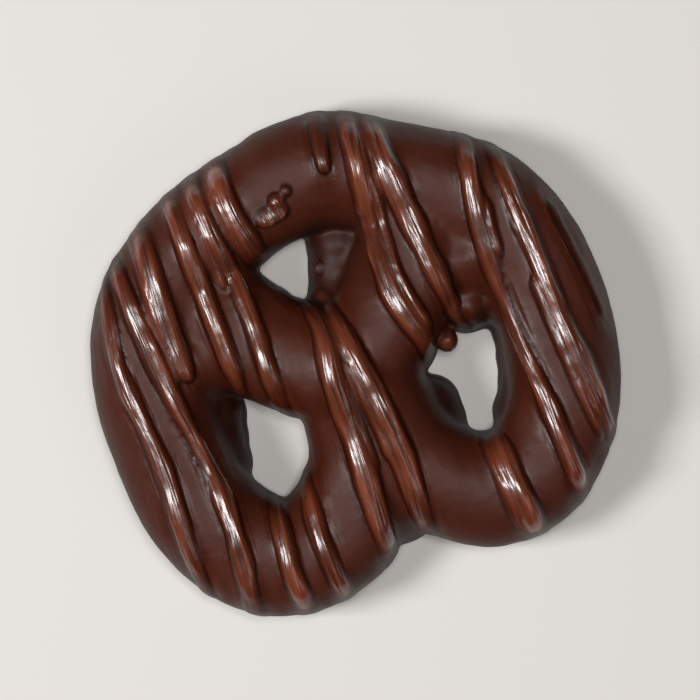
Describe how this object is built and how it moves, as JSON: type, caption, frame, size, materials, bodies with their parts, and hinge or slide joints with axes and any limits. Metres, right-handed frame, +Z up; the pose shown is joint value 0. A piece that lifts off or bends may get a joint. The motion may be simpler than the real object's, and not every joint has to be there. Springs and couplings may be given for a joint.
{
  "type": "chocolate covered pretzel",
  "caption": "Small twisted pretzel in a thick milk chocolate coat, with a drizzle of chocolate strands across its top and a flat underside",
  "frame": {"origin": "middle of the bounding box's underside, on the surface that the pretzel lies on", "axes": "+X across the two lobes, +Y from the notch between the lobes to the base bar, +Z up from the flat underside to the drizzled top"},
  "size_m": [0.0523, 0.0476, 0.0135],
  "materials": {
    "milk_chocolate": "satin milk chocolate, with soft highlights along the drizzle"
  },
  "bodies": {
    "root": {"chocolate_pretzel": "milk_chocolate"}
  },
  "joints": []
}
